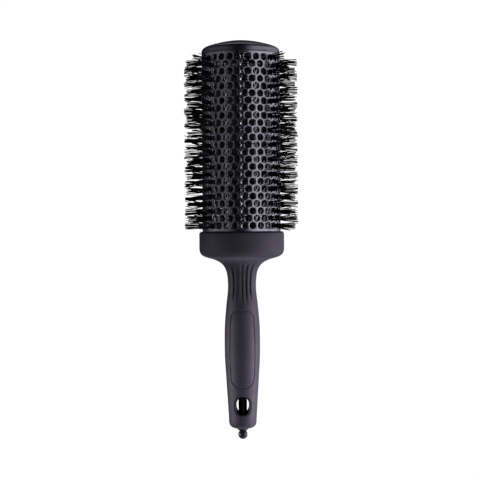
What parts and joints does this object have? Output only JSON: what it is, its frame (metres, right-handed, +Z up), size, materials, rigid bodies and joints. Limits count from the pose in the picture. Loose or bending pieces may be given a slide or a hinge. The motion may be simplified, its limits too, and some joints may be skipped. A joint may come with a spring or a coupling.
{
  "type": "vented thermal round brush",
  "caption": "Vented thermal round hair brush: perforated metal barrel with rows of bristles, domed cap, soft-touch handle and pull-out sectioning pick.",
  "frame": {"origin": "centre of the brush's box, on the surface it lies on, under the brush axis", "axes": "+X along the brush axis from the handle to the end cap, +Z up through the front column of bristles"},
  "size_m": [0.2806, 0.08, 0.079],
  "materials": {
    "coated_metal": "dark ceramic coating on perforated aluminium, satin",
    "wire_steel": "bright drawn wire",
    "nylon": "black nylon filament, satin",
    "cap_satin": "satin moulded plastic",
    "soft_touch": "matte soft-touch coating",
    "moulded_black": "polished moulded plastic",
    "pick_black": "semi-gloss moulded plastic"
  },
  "bodies": {
    "brush": {"barrel": "coated_metal", "bristle_row_1": "nylon", "bristle_row_2": "nylon", "bristle_row_3": "nylon", "bristle_row_4": "nylon", "bristle_row_5": "nylon", "bristle_row_6": "nylon", "bristle_row_7": "nylon", "bristle_wire_1": "wire_steel", "bristle_wire_2": "wire_steel", "bristle_wire_3": "wire_steel", "bristle_wire_4": "wire_steel", "bristle_wire_5": "wire_steel", "bristle_wire_6": "wire_steel", "bristle_wire_7": "wire_steel", "front_wire_ring": "moulded_black", "rear_wire_ring": "moulded_black", "end_cap": "cap_satin", "handle_core": "moulded_black", "handle_sleeve": "soft_touch"},
    "pick": {"sectioning_pick": "pick_black"}
  },
  "joints": [
    {"name": "pick_slide", "type": "slide", "parent": "brush", "child": "pick", "axis": [-1, 0, 0], "range_m": [0, 0.095]}
  ]
}
